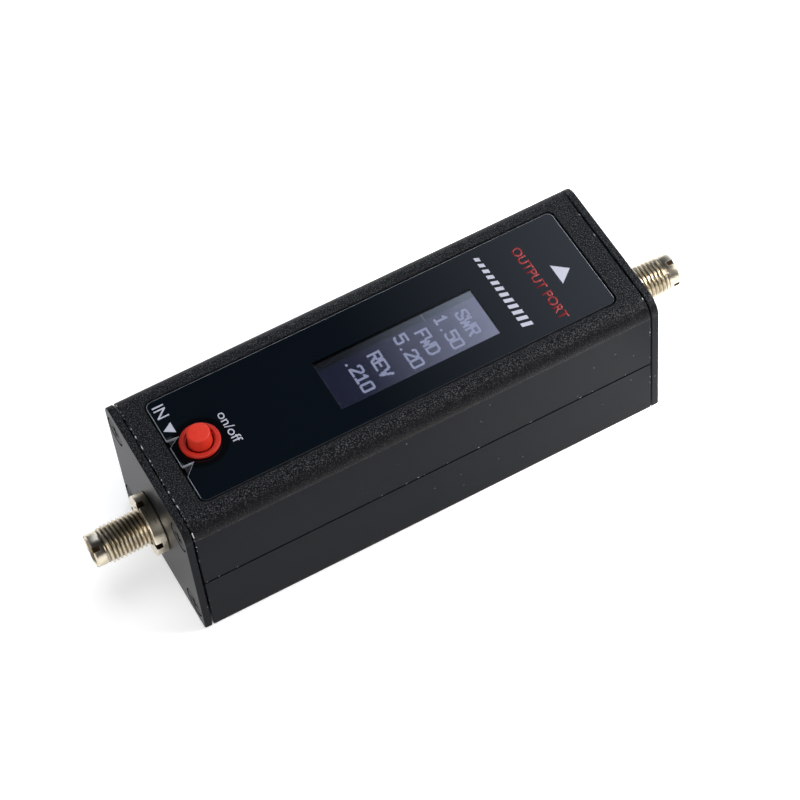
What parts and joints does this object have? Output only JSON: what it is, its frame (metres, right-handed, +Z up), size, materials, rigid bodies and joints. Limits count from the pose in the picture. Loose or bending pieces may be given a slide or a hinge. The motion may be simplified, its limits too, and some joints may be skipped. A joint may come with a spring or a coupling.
{
  "type": "swr meter",
  "caption": "In-line digital power and standing-wave meter: split aluminium case, threaded coaxial connectors at both ends, small display and a red push button.",
  "frame": {"origin": "bottom centre of the meter, on the surface that it stands on", "axes": "+X along the case from the transmitter end to the antenna end, +Z up out of the face panel, +Y across"},
  "size_m": [0.1076, 0.0294, 0.0312],
  "materials": {
    "case": "black anodised, sand-blasted on top",
    "end_plate": "black anodised, satin",
    "screw": "black zinc",
    "connector": "nickel plated",
    "ring_nut": "nickel plated",
    "insulator": "white fluoropolymer",
    "contact": "gold plated",
    "face_panel": "clear acrylic, printed",
    "adhesive": "black adhesive sheet",
    "display_glass": "display glass",
    "foam": "foam tape",
    "flex": "amber film",
    "board": "solder mask",
    "black_plastic": "moulded",
    "tinplate": "tin plated",
    "cell": "aluminised pouch",
    "white_plastic": "moulded",
    "lead_red": "wire insulation",
    "lead_black": "wire insulation",
    "button": "moulded red plastic",
    "steel": "plain",
    "brass": "plain"
  },
  "bodies": {
    "case": {"upper_shell": "case", "lower_shell": "case", "input_end_plate": "end_plate", "input_end_screw_1": "screw", "input_end_screw_2": "screw", "input_end_screw_3": "screw", "input_end_screw_4": "screw", "input_connector_body": "connector", "input_insulator": "insulator", "input_contact": "contact", "input_ring_nut": "ring_nut", "output_end_plate": "end_plate", "output_end_screw_1": "screw", "output_end_screw_2": "screw", "output_end_screw_3": "screw", "output_end_screw_4": "screw", "output_connector_body": "connector", "output_insulator": "insulator", "output_contact": "contact", "output_ring_nut": "ring_nut", "face_panel": "face_panel", "panel_adhesive": "adhesive", "oled_glass": "display_glass", "oled_foam_pad": "foam", "oled_flex": "flex", "display_board": "board", "display_header": "black_plastic", "header_socket": "black_plastic", "main_board": "board", "coupler_shield": "tinplate", "microcontroller": "black_plastic", "charge_socket": "tinplate", "battery_tape": "foam", "battery_cell": "cell", "battery_socket": "white_plastic", "battery_plug": "white_plastic", "battery_lead_red": "lead_red", "battery_lead_black": "lead_black", "button_bezel": "button", "button_nut": "steel", "switch_base": "black_plastic", "switch_terminal_left": "brass", "switch_terminal_right": "brass", "button_spring": "steel"},
    "button": {"button_cap": "button", "contact_disc": "brass"}
  },
  "joints": [
    {"name": "button_press", "type": "slide", "parent": "case", "child": "button", "axis": [0, 0, -1], "range_m": [0, 0.0015], "stiffness_N_per_m": 600, "springref_m": -0.0005, "deforming": ["button_spring"]}
  ]
}
